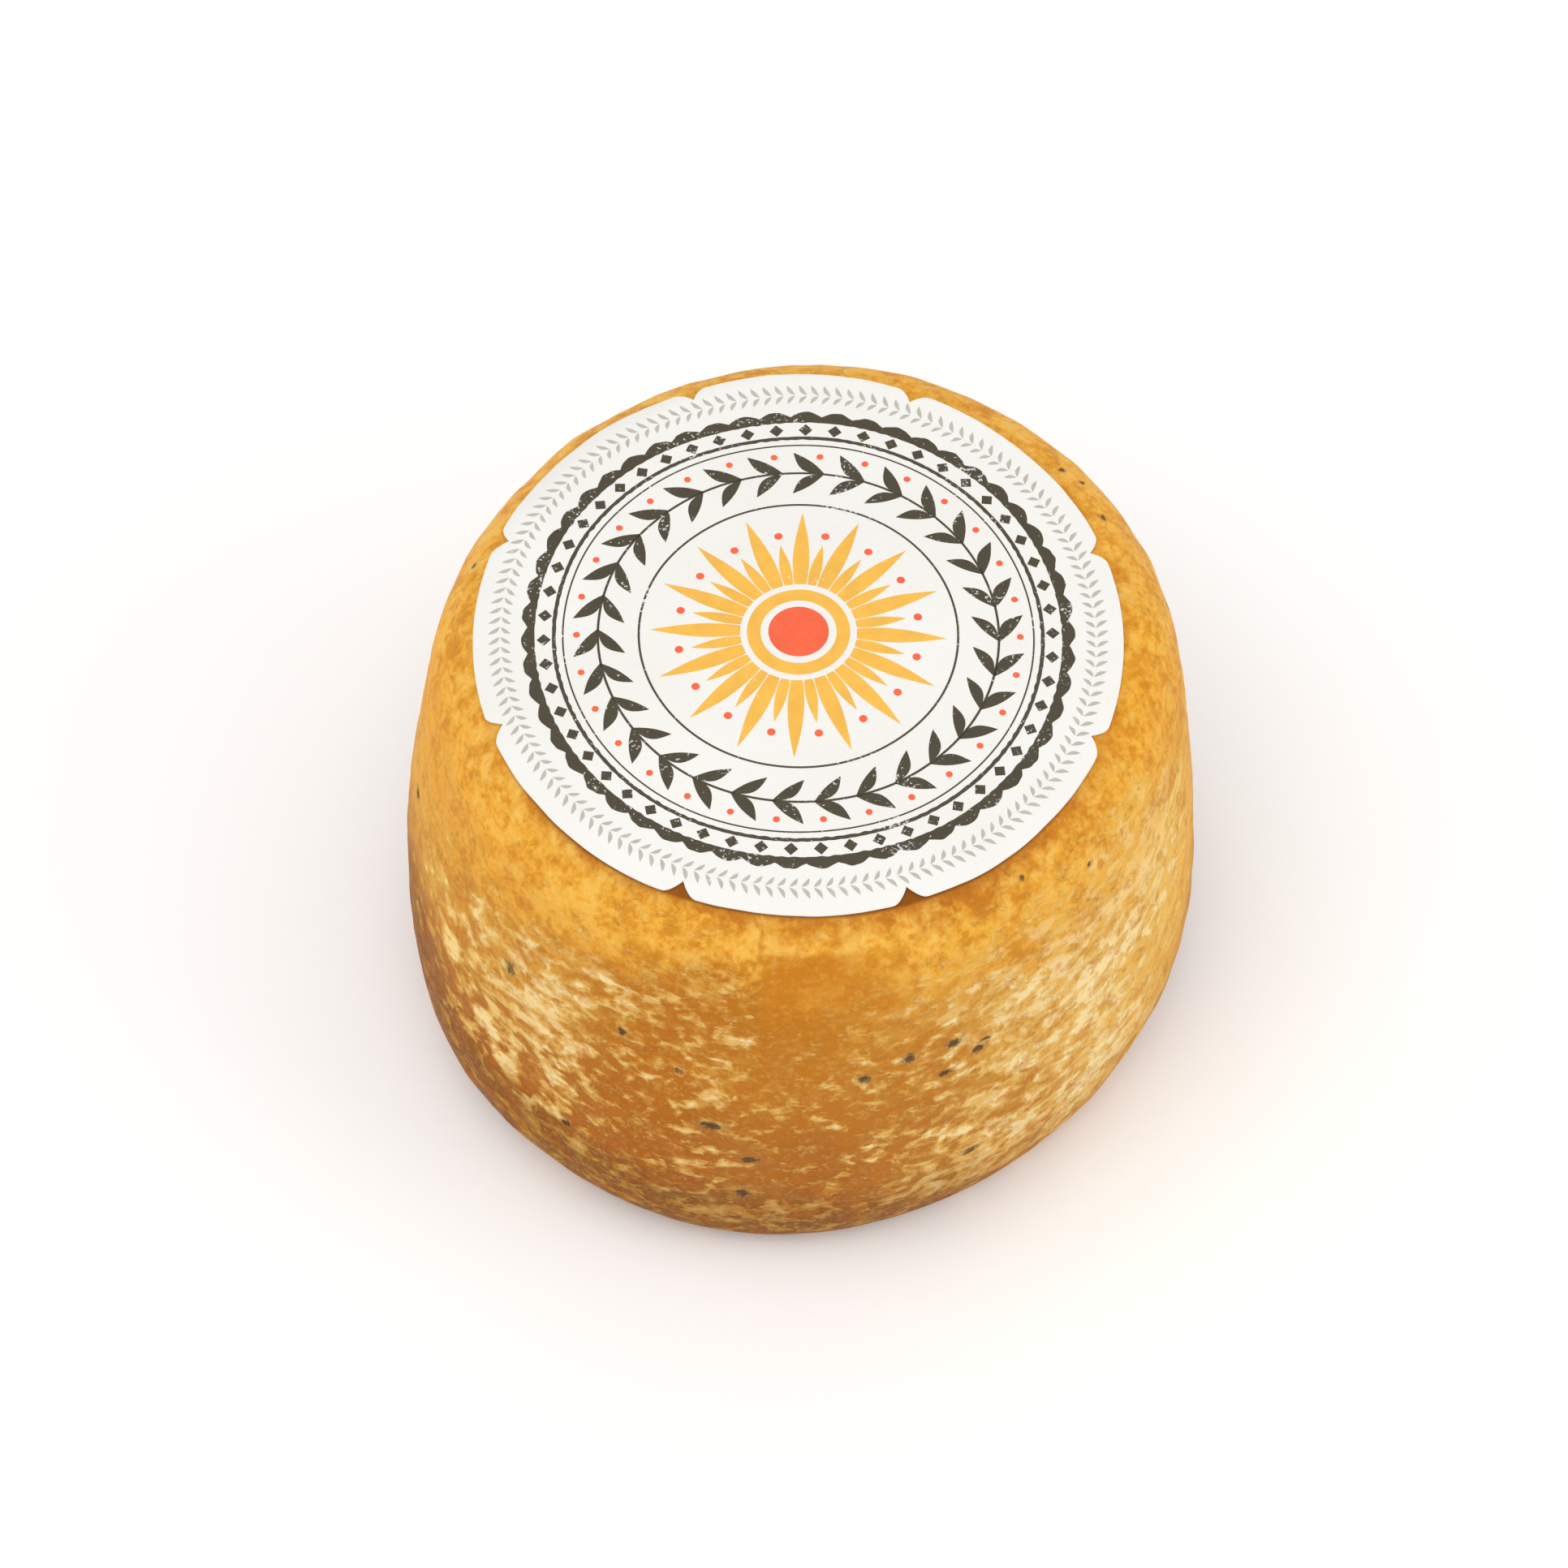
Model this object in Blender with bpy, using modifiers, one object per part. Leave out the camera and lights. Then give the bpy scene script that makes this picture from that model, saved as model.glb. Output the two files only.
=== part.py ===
"""A small smoked cheese: a whole wheel standing on its base, with a round paper label on top.

The wheel is a barrel turned about the Z axis and then pressed a little out of round, as a cheese is
that was moulded in cloth and turned by hand. The label is a paper disc with eight small V notches in
its rim, laid on the crown, with its rim bent down over the shoulder.
Metres, +Z up. The origin is on the floor, under the middle of the wheel's outline.
"""

import math

import bmesh
import bpy
import numpy as np

# Driving dimensions of the wheel, in metres
HEIGHT = 0.1005
WIDEST_RADIUS = 0.0722
CROWN_RISE = 0.0014
SHOULDER_DROP = 0.0150
SHOULDER_INSET = 0.0093
SIDE_LEAN = 0.0052
FOOT_RISE = 0.0268
FOOT_INSET = 0.0097

# How far the wheel is out of round: lobes, depth at the top, extra depth at the base, azimuth of a lobe
OUT_OF_ROUND = (
    (2, 0.00090, 0.00045, math.radians(45.0)),
    (3, 0.00000, 0.00065, math.radians(0.0)),
    (4, 0.00037, 0.00000, math.radians(8.0)),
)

# Slow swells of the rind: count, depth of each, longest and shortest wavelength
SWELL_COUNT = 14
SWELL_DEPTH = 0.00011
SWELL_LONGEST = 0.060
SWELL_SHORTEST = 0.024
SWELL_SEED = 141

# Pressed spots in the side: azimuth in degrees, height, half width, half height, depth
PRESSED_SPOTS = (
    (-88.0, 0.0835, 0.0140, 0.0065, 0.0006),
    (-38.0, 0.0200, 0.0150, 0.0120, 0.0009),
    (-128.0, 0.0330, 0.0170, 0.0140, 0.0007),
    (62.0, 0.0500, 0.0200, 0.0180, 0.0008),
    (155.0, 0.0250, 0.0150, 0.0130, 0.0008),
    (8.0, 0.0640, 0.0160, 0.0110, 0.0006),
)

# The wheel's base stays flat: swells and spots fade out over this height
FLAT_BASE_FADE = 0.008

# Driving dimensions of the paper label
LABEL_RADIUS = 0.0581
NOTCH_DEPTH = 0.0022
NOTCH_HALF_ANGLE = math.radians(2.2)
NARROW_PETAL_HALF_ANGLE = math.radians(20.6)
LABEL_TURN = math.radians(1.0)
LABEL_OFFSET = (-0.0014, -0.0014)
LABEL_THICKNESS = 0.0003
LABEL_GAP = 0.0003

# Mesh steps
TURN_STEPS = 96
CROWN_STEPS = 7
SHOULDER_STEPS = 8
SIDE_STEPS = 12
FOOT_STEPS = 7
BASE_STEPS = 4
PETALS = 8
PETAL_STEPS = 12
# The label's rings as shares of its radius, closer together where the rim bends over the shoulder
LABEL_RINGS = (0.0, 0.2, 0.4, 0.6, 0.78, 0.9, 0.945, 0.965, 0.985, 1.0)
MERGE = 0.00001

RIND_COLOUR = (0.62, 0.30, 0.06, 1.0)
PAPER_COLOUR = (0.90, 0.89, 0.86, 1.0)


def clear_scene():
    for obj in list(bpy.data.objects):
        bpy.data.objects.remove(obj, do_unlink=True)


def make_collection(name):
    collection = bpy.data.collections.new(name)
    bpy.context.scene.collection.children.link(collection)
    return collection


def make_material(name, colour, roughness):
    material = bpy.data.materials.new(name)
    material.use_nodes = True
    shader = material.node_tree.nodes["Principled BSDF"]
    shader.inputs["Base Color"].default_value = colour
    shader.inputs["Roughness"].default_value = roughness
    shader.inputs["Metallic"].default_value = 0.0
    return material


def side_radius(height):
    """Radius of the side: widest from the foot down, leaning in along a parabola above it."""
    shoulder_start = HEIGHT - CROWN_RISE - SHOULDER_DROP
    share = max(0.0, (height - FOOT_RISE) / (shoulder_start - FOOT_RISE))
    return WIDEST_RADIUS - SIDE_LEAN * share**2


def wheel_profile():
    """Half section from the top of the crown, down the outside, to the middle of the base."""
    crown_edge = HEIGHT - CROWN_RISE
    shoulder_start = crown_edge - SHOULDER_DROP
    crown_radius = side_radius(crown_edge) - SHOULDER_INSET
    points = []
    for i in range(CROWN_STEPS):
        share = i / CROWN_STEPS
        points.append((crown_radius * share, HEIGHT - CROWN_RISE * share**2))
    for i in range(SHOULDER_STEPS):
        angle = 0.5 * math.pi * (1.0 - i / SHOULDER_STEPS)
        height = shoulder_start + SHOULDER_DROP * math.sin(angle)
        points.append((side_radius(height) - SHOULDER_INSET * (1.0 - math.cos(angle)), height))
    for i in range(SIDE_STEPS):
        height = shoulder_start + (FOOT_RISE - shoulder_start) * i / SIDE_STEPS
        points.append((side_radius(height), height))
    for i in range(FOOT_STEPS):
        angle = 0.5 * math.pi * i / FOOT_STEPS
        radius = WIDEST_RADIUS - FOOT_INSET * (1.0 - math.cos(angle))
        points.append((radius, FOOT_RISE * (1.0 - math.sin(angle))))
    base_radius = WIDEST_RADIUS - FOOT_INSET
    for i in range(BASE_STEPS + 1):
        points.append((base_radius * (1.0 - i / BASE_STEPS), 0.0))
    return points


def turned_mesh(name, points, steps):
    """A mesh turned about Z from a half section in the XZ plane, with its seam and poles merged."""
    section = bpy.data.meshes.new(name + "_section")
    section.from_pydata(
        [(radius, 0.0, height) for radius, height in points],
        [(i, i + 1) for i in range(len(points) - 1)],
        [],
    )
    turning = bpy.data.objects.new(name + "_turning", section)
    bpy.context.scene.collection.objects.link(turning)
    screw = turning.modifiers.new("Turn", "SCREW")
    screw.axis = "Z"
    screw.angle = 2.0 * math.pi
    screw.steps = steps
    screw.render_steps = steps
    screw.use_merge_vertices = True
    screw.merge_threshold = MERGE
    graph = bpy.context.evaluated_depsgraph_get()
    mesh = bpy.data.meshes.new_from_object(turning.evaluated_get(graph))
    mesh.name = name
    bpy.data.objects.remove(turning, do_unlink=True)
    bpy.data.meshes.remove(section)
    return mesh


def vertex_points(mesh):
    values = np.empty(len(mesh.vertices) * 3)
    mesh.vertices.foreach_get("co", values)
    return values.reshape(-1, 3)


def vertex_normals(mesh):
    values = np.empty(len(mesh.vertices) * 3)
    mesh.vertex_normals.foreach_get("vector", values)
    return values.reshape(-1, 3)


def out_of_round(points):
    """Radial growth of each point, from the lobes, in step with its distance from the axis."""
    azimuth = np.arctan2(points[:, 1], points[:, 0])
    depth_share = 1.0 - points[:, 2] / HEIGHT
    growth = np.zeros(len(points))
    for lobes, at_top, more_at_base, towards in OUT_OF_ROUND:
        growth += (at_top + more_at_base * depth_share) * np.cos(lobes * (azimuth - towards))
    return growth / WIDEST_RADIUS


def swells(points):
    """Slow swells: a sum of plane waves whose directions, lengths and phases are drawn once."""
    draw = np.random.RandomState(SWELL_SEED)
    total = np.zeros(len(points))
    for _ in range(SWELL_COUNT):
        direction = draw.normal(size=3)
        direction /= np.linalg.norm(direction)
        wavelength = draw.uniform(SWELL_SHORTEST, SWELL_LONGEST)
        phase = draw.uniform(0.0, 2.0 * math.pi)
        total += np.sin(points @ direction * 2.0 * math.pi / wavelength + phase)
    return SWELL_DEPTH * total


def pressed(points):
    """Shallow round-edged dents in the side, each a bell over azimuth and height."""
    azimuth = np.arctan2(points[:, 1], points[:, 0])
    radius = np.hypot(points[:, 0], points[:, 1])
    total = np.zeros(len(points))
    for towards, height, half_width, half_height, depth in PRESSED_SPOTS:
        turn = azimuth - math.radians(towards)
        across = radius * np.arctan2(np.sin(turn), np.cos(turn)) / half_width
        up = (points[:, 2] - height) / half_height
        total += depth * np.exp(-(across**2) - up**2)
    return total


def make_wheel(collection, material):
    mesh = turned_mesh("wheel", wheel_profile(), TURN_STEPS)
    points = vertex_points(mesh)
    points[:, :2] *= 1.0 + out_of_round(points)[:, None]
    fade = np.clip(points[:, 2] / FLAT_BASE_FADE, 0.0, 1.0)
    fade *= fade * (3.0 - 2.0 * fade)
    uneven = (swells(points) - pressed(points)) * fade
    points += vertex_normals(mesh) * uneven[:, None]
    middle = (points.min(axis=0) + points.max(axis=0)) / 2.0
    points[:, :2] -= middle[:2]
    mesh.vertices.foreach_set("co", points.ravel())
    mesh.update()
    mesh.shade_smooth()
    mesh.materials.append(material)
    wheel = bpy.data.objects.new("wheel", mesh)
    collection.objects.link(wheel)
    return wheel, middle


def petal_place(step):
    """(angle, radius) of a step round the label's rim: notch tip, corner, arc, corner, next tip."""
    pitch = 2.0 * math.pi / PETALS
    petal, part = divmod(step % (PETALS * PETAL_STEPS), PETAL_STEPS)
    narrow = petal % 2 == 0
    half = NARROW_PETAL_HALF_ANGLE if narrow else pitch - NARROW_PETAL_HALF_ANGLE
    middle = petal * pitch
    if part == 0:
        return middle - half, LABEL_RADIUS - NOTCH_DEPTH
    arc_half = half - NOTCH_HALF_ANGLE
    share = (part - 1) / (PETAL_STEPS - 2)
    return middle - arc_half + 2.0 * arc_half * share, LABEL_RADIUS


def make_label(collection, material, wheel, middle):
    """A turned disc whose rim is drawn in to the notched outline, dropped on the wheel and thickened."""
    steps = PETALS * PETAL_STEPS
    mesh = turned_mesh("label", [(share, 0.0) for share in LABEL_RINGS], steps)
    work = bmesh.new()
    work.from_mesh(mesh)
    for vertex in work.verts:
        share = math.hypot(vertex.co.x, vertex.co.y)
        turn = math.atan2(vertex.co.y, vertex.co.x)
        angle, radius = petal_place(round(turn / (2.0 * math.pi) * steps))
        vertex.co.x = share * radius * math.cos(angle + LABEL_TURN)
        vertex.co.y = share * radius * math.sin(angle + LABEL_TURN)
    bmesh.ops.recalc_face_normals(work, faces=work.faces)
    if next(iter(work.faces)).normal.z < 0.0:
        bmesh.ops.reverse_faces(work, faces=work.faces)
    work.to_mesh(mesh)
    work.free()
    mesh.shade_smooth()
    mesh.materials.append(material)
    label = bpy.data.objects.new("label", mesh)
    label.location = (LABEL_OFFSET[0] - middle[0], LABEL_OFFSET[1] - middle[1], HEIGHT + SHOULDER_DROP)
    collection.objects.link(label)
    lay = label.modifiers.new("Lay on the crown", "SHRINKWRAP")
    lay.target = wheel
    lay.wrap_method = "PROJECT"
    lay.use_project_z = True
    lay.use_negative_direction = True
    lay.use_positive_direction = False
    lay.offset = LABEL_GAP
    paper = label.modifiers.new("Paper", "SOLIDIFY")
    paper.thickness = LABEL_THICKNESS
    paper.offset = 1.0
    return label


def main():
    clear_scene()
    cheese = make_collection("cheese_wheel")
    rind = make_material("rind", RIND_COLOUR, 0.45)
    paper = make_material("label_paper", PAPER_COLOUR, 0.6)
    wheel, middle = make_wheel(cheese, rind)
    make_label(cheese, paper, wheel, middle)


main()
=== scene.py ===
import math

import bpy
import numpy as np
from mathutils import Matrix, Vector


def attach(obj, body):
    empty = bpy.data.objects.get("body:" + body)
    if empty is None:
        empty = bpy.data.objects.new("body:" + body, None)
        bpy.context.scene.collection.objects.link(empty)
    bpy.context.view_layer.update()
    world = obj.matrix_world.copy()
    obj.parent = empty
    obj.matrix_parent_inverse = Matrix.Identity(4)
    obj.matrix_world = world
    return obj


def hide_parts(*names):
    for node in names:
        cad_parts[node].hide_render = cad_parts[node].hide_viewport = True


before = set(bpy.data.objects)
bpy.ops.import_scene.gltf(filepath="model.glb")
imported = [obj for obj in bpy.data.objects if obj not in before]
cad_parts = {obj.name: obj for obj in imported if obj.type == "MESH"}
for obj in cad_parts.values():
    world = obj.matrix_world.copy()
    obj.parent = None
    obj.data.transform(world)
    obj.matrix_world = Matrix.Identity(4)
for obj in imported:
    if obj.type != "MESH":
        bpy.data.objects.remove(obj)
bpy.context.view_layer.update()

# The wheel: one block of pressed cheese, moulded in cloth, turned by hand while it ripened, smoked and
# rubbed with oil. Its skin is golden on the shoulder and brown at the foot, scuffed into pale flakes
# that run round the side, with a few dark pits where mould took hold. Part of the shoulder's gold is
# painted top light, and part of the brown low down and on the left is painted shade.
HEIGHT = 0.1005
WIDEST_RADIUS = 0.0722
CROWN_RISE = 0.0014
SHOULDER_DROP = 0.0150
SHOULDER_INSET = 0.0093
SIDE_LEAN = 0.0052
FOOT_RISE = 0.0268
FOOT_INSET = 0.0097
CROWN_EDGE = HEIGHT - CROWN_RISE
SHOULDER_START = CROWN_EDGE - SHOULDER_DROP

COLUMNS = 520
CROWN_ROWS = 16
SHOULDER_ROWS = 40
SIDE_ROWS = 74
FOOT_ROWS = 34
BASE_ROWS = 6


def side_radius(height):
    """Radius of the side: widest at the foot's top, less the lean times the share of the climb, squared."""
    share = np.clip((height - FOOT_RISE) / (SHOULDER_START - FOOT_RISE), 0.0, None)
    return WIDEST_RADIUS - SIDE_LEAN * share**2


def wheel_profile():
    """Radius and height along the half section, and the outward direction in that plane.

    Crown: height falls with the radius squared. Shoulder: a quarter ellipse drawn in from the side.
    Side: the leaning wall. Foot: a quarter ellipse in to the flat base.
    """
    crown = np.arange(CROWN_ROWS) / CROWN_ROWS
    crown_radius = side_radius(CROWN_EDGE) - SHOULDER_INSET
    turn = 0.5 * math.pi * (1.0 - np.arange(SHOULDER_ROWS) / SHOULDER_ROWS)
    shoulder = SHOULDER_START + SHOULDER_DROP * np.sin(turn)
    wall = SHOULDER_START + (FOOT_RISE - SHOULDER_START) * np.arange(SIDE_ROWS) / SIDE_ROWS
    bend = 0.5 * math.pi * np.arange(FOOT_ROWS) / FOOT_ROWS
    base = 1.0 - np.arange(BASE_ROWS + 1) / BASE_ROWS
    radius = np.concatenate([
        crown_radius * crown,
        side_radius(shoulder) - SHOULDER_INSET * (1.0 - np.cos(turn)),
        side_radius(wall),
        WIDEST_RADIUS - FOOT_INSET * (1.0 - np.cos(bend)),
        (WIDEST_RADIUS - FOOT_INSET) * base,
    ])
    height = np.concatenate([
        HEIGHT - CROWN_RISE * crown**2,
        shoulder,
        wall,
        FOOT_RISE * (1.0 - np.sin(bend)),
        np.zeros(BASE_ROWS + 1),
    ])
    along = np.stack([np.gradient(radius), np.gradient(height)])
    along /= np.linalg.norm(along, axis=0)
    return radius, height, -along[1], along[0]


# Lobes round the wheel: their count, height at the top, growth down to the base, and where one points
OUT_OF_ROUND = (
    (2, 0.00090, 0.00045, math.radians(45.0)),
    (3, 0.00000, 0.00065, math.radians(0.0)),
    (4, 0.00037, 0.00000, math.radians(8.0)),
)


def out_of_round(azimuth, height):
    """Growth of the radius as a share of it: a cosine for each count of lobes, deeper towards the base."""
    sunk = 1.0 - height / HEIGHT
    growth = sum(
        (at_top + more * sunk) * np.cos(lobes * (azimuth - towards))
        for lobes, at_top, more, towards in OUT_OF_ROUND
    )
    return growth / WIDEST_RADIUS


def plane_waves(points, seed, count, shortest, longest):
    """Sum of sines of the distance along drawn directions, each with a drawn wavelength and phase."""
    draw = np.random.RandomState(seed)
    total = np.zeros(points.shape[:-1])
    for _ in range(count):
        direction = draw.normal(size=3)
        direction /= np.linalg.norm(direction)
        wavelength = draw.uniform(shortest, longest)
        phase = draw.uniform(0.0, 2.0 * math.pi)
        total += np.sin(points @ direction * 2.0 * math.pi / wavelength + phase)
    return total


def rising(value, low, high):
    """Smooth step from 0 at low to 1 at high: three times the share squared less twice its cube."""
    share = np.clip((value - low) / (high - low), 0.0, 1.0)
    return share * share * (3.0 - 2.0 * share)


def turn_between(azimuth, towards):
    """Signed angle from towards to azimuth, in radians, the short way round."""
    turn = azimuth - math.radians(towards)
    return np.arctan2(np.sin(turn), np.cos(turn))


def round_bell(azimuth, towards, half_turn):
    """A bell over the way round: 1 at one azimuth, falling with the turn from it, both in degrees."""
    return np.exp(-((np.degrees(turn_between(azimuth, towards)) / half_turn) ** 2))


# Shallow dents: azimuth in degrees, height, half a width round the side, half a height, depth
PRESSED_SPOTS = (
    (-88.0, 0.0835, 0.0140, 0.0065, 0.0006),
    (-38.0, 0.0200, 0.0150, 0.0120, 0.0009),
    (-128.0, 0.0330, 0.0170, 0.0140, 0.0007),
    (62.0, 0.0500, 0.0200, 0.0180, 0.0008),
    (155.0, 0.0250, 0.0150, 0.0130, 0.0008),
    (8.0, 0.0640, 0.0160, 0.0110, 0.0006),
)


def bells(spots, azimuth, radius, height):
    """Sum over the spots: a bell over the way round and a bell over the height, times the spot's amount."""
    return sum(
        amount
        * np.exp(-((radius * turn_between(azimuth, towards) / half_width) ** 2))
        * np.exp(-(((height - middle) / half_height) ** 2))
        for towards, middle, half_width, half_height, amount in spots
    )


# The print of a cloth fold high on the front. Its edges are pairs: where each starts, and where it ends
LEDGE_AZIMUTH = -95.2
LEDGE_DEPTH = 0.00028
LEDGE_LEFT_EDGE = (-0.0004, 0.0008)
LEDGE_RIGHT_FADE = (-0.034, -0.012)
LEDGE_TOP_EDGE = (-0.0930, -0.0915)
LEDGE_LOWER_FADE = (0.0700, 0.0880)


def ledge(azimuth, height):
    """The fold's print: steps across and up, crisp at its left and top, that fade to the right and down."""
    across = WIDEST_RADIUS * turn_between(azimuth, LEDGE_AZIMUTH)
    return (
        rising(across, *LEDGE_LEFT_EDGE)
        * rising(-across, *LEDGE_RIGHT_FADE)
        * rising(-height, *LEDGE_TOP_EDGE)
        * rising(height, *LEDGE_LOWER_FADE)
    )


FOLD_AZIMUTH = -95.4
FOLD_DEPTH = 0.00010
FOLD_HALF_WIDTH = 0.0005
FOLD_BOW = 45.0
FOLD_MIDDLE = 0.0945
FOLD_LOWER_END = (0.0860, 0.0900)
FOLD_UPPER_END = (-0.0972, -0.0950)


def fold_line(azimuth, height):
    """The groove at the print's left end: a narrow bell across a line bowed by the squared way up it."""
    across = WIDEST_RADIUS * turn_between(azimuth, FOLD_AZIMUTH) + FOLD_BOW * (height - FOLD_MIDDLE) ** 2
    groove = np.exp(-((across / FOLD_HALF_WIDTH) ** 2))
    return groove * rising(height, *FOLD_LOWER_END) * rising(-height, *FOLD_UPPER_END)


# Dark pits: azimuth in degrees, height, half a length round the side, half a height
PITS = (
    (-135.4, 0.0628, 0.0010, 0.0016),
    (-106.4, 0.0591, 0.0006, 0.0007),
    (-115.5, 0.0644, 0.0008, 0.0009),
    (-101.2, 0.0460, 0.0019, 0.0011),
    (-95.3, 0.0362, 0.0016, 0.0010),
    (-96.3, 0.0240, 0.0011, 0.0014),
    (-79.3, 0.0601, 0.0010, 0.0010),
    (-72.6, 0.0636, 0.0011, 0.0012),
    (-65.4, 0.0636, 0.0014, 0.0009),
    (-66.8, 0.0556, 0.0013, 0.0009),
    (-61.2, 0.0584, 0.0012, 0.0010),
    (-60.0, 0.0602, 0.0010, 0.0005),
    (-62.1, 0.0263, 0.0017, 0.0008),
    (-170.5, 0.0608, 0.0012, 0.0011),
    (-123.6, 0.0283, 0.0009, 0.0008),
    (-37.4, 0.0873, 0.0006, 0.0005),
    (-50.0, 0.0938, 0.0005, 0.0005),
    (40.7, 0.0975, 0.0005, 0.0005),
    (37.3, 0.0960, 0.0005, 0.0005),
    (28.8, 0.0971, 0.0006, 0.0005),
    (165.9, 0.0947, 0.0006, 0.0005),
)
# More pits behind, drawn from a range for each of the same four values
PITS_BEHIND = 14
PITS_BEHIND_SEED = 23
PITS_BEHIND_RANGES = ((15.0, 170.0), (0.015, 0.090), (0.0004, 0.0013), (0.0004, 0.0008))
PIT_DEPTH = 0.00022
FAR_FROM_PITS = 9.0


def pit_distance(azimuth, radius, height):
    """Distance to the nearest pit in pit sizes: the root of the squares of the ways across and up."""
    draw = np.random.RandomState(PITS_BEHIND_SEED)
    behind = np.stack([draw.uniform(low, high, PITS_BEHIND) for low, high in PITS_BEHIND_RANGES], axis=1)
    nearest = np.full(azimuth.shape, FAR_FROM_PITS)
    for towards, middle, half_length, half_height in (*PITS, *behind):
        across = radius * turn_between(azimuth, towards) / half_length
        up = (height - middle) / half_height
        nearest = np.minimum(nearest, np.hypot(across, up))
    return nearest


def closed_skin(name, grid):
    """A closed mesh from rows by columns of points: the columns join up, and each end row is one pole."""
    rows, columns = grid.shape[:2]
    top, bottom = grid[0].mean(axis=0), grid[-1].mean(axis=0)
    points = np.concatenate([top[None], grid[1:-1].reshape(-1, 3), bottom[None]])
    ring = np.arange(columns)
    after = np.roll(ring, -1)
    row = 1 + columns * np.arange(rows - 3)[:, None]
    sheet = np.stack([row + ring, row + columns + ring, row + columns + after, row + after], axis=-1)
    last = 1 + columns * (rows - 3)
    cap = np.stack([np.zeros(columns, int), 1 + ring, 1 + after], axis=-1)
    foot = np.stack([last + after, last + ring, np.full(columns, len(points) - 1)], axis=-1)
    mesh = bpy.data.meshes.new(name)
    mesh.from_pydata(points.tolist(), [], cap.tolist() + sheet.reshape(-1, 4).tolist() + foot.tolist())
    mesh.shade_smooth()
    return mesh


def add_piece(name, mesh, material):
    """A piece at the origin that carries its material and rides on the one body."""
    piece = bpy.data.objects.new(name, mesh)
    bpy.context.scene.collection.objects.link(piece)
    mesh.materials.append(material)
    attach(piece, "root")
    return piece


def set_value(mesh, name, rows_by_columns):
    """Keeps one number for each point of a closed skin, as an attribute its material reads."""
    inner = rows_by_columns[1:-1].ravel()
    values = np.concatenate([[rows_by_columns[0].mean()], inner, [rows_by_columns[-1].mean()]])
    mesh.attributes.new(name, "FLOAT", "POINT").data.foreach_set("value", values.astype(np.float32))


# Sets of plane waves: a seed, a count, and the shortest and longest wavelength
SWELL_WAVES, SWELL_DEPTH = (141, 14, 0.024, 0.060), 0.00011
LUMP_WAVES, LUMP_DEPTH = (7, 40, 0.0045, 0.0130), 0.000016
CREASE_WAVES, CREASE_DEPTH = (31, 16, 0.007, 0.016), 0.00010
CREASE_STRETCH = (0.45, 0.45, 1.0)
CREASE_WIDTH = 0.35
FRONT_AZIMUTH = -90.0
FRONT_WITHOUT_CREASES = (0.35, 0.9)
FLAT_BASE_FADE = 0.008
LABEL_RADIUS = 0.0581
LABEL_OFFSET = (-0.0014, -0.0014)
SMOOTH_UNDER_LABEL, ROUGH_PAST_LABEL = 0.006, 0.002

section_radius, section_height, outward, upward = (part[:, None] for part in wheel_profile())
azimuth = np.broadcast_to(2.0 * math.pi * np.arange(COLUMNS) / COLUMNS, (len(section_radius), COLUMNS))
radius = section_radius * (1.0 + out_of_round(azimuth, section_height))
height = np.broadcast_to(section_height, radius.shape)
smooth = np.stack([radius * np.cos(azimuth), radius * np.sin(azimuth), height], axis=-1)
from_label = np.hypot(smooth[..., 0] - LABEL_OFFSET[0], smooth[..., 1] - LABEL_OFFSET[1])
bare = rising(from_label, LABEL_RADIUS - SMOOTH_UNDER_LABEL, LABEL_RADIUS + ROUGH_PAST_LABEL)
bare = np.where(height > 0.5 * HEIGHT, bare, 1.0)
off_base = rising(height, 0.0, FLAT_BASE_FADE)
swell = SWELL_DEPTH * plane_waves(smooth, *SWELL_WAVES)
lump = LUMP_DEPTH * plane_waves(smooth, *LUMP_WAVES)
crease = np.exp(-((plane_waves(smooth * np.array(CREASE_STRETCH), *CREASE_WAVES) / CREASE_WIDTH) ** 2))
crease = crease * rising(np.abs(turn_between(azimuth, FRONT_AZIMUTH)), *FRONT_WITHOUT_CREASES)
dent = ledge(azimuth, height)
pit = pit_distance(azimuth, radius, height)
fold = fold_line(azimuth, height)
relief = lump - CREASE_DEPTH * crease - LEDGE_DEPTH * dent - FOLD_DEPTH * fold
relief = relief - PIT_DEPTH * np.exp(-(pit**2))
relief = (swell - bells(PRESSED_SPOTS, azimuth, radius, height) + relief * bare) * off_base
radius = radius + outward * relief
height = height + upward * relief
rind_points = np.stack([radius * np.cos(azimuth), radius * np.sin(azimuth), height], axis=-1)
middle = (rind_points.min(axis=(0, 1)) + rind_points.max(axis=(0, 1)))[:2] / 2.0
rind_points[..., :2] -= middle
rind_mesh = closed_skin("rind", rind_points)
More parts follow.
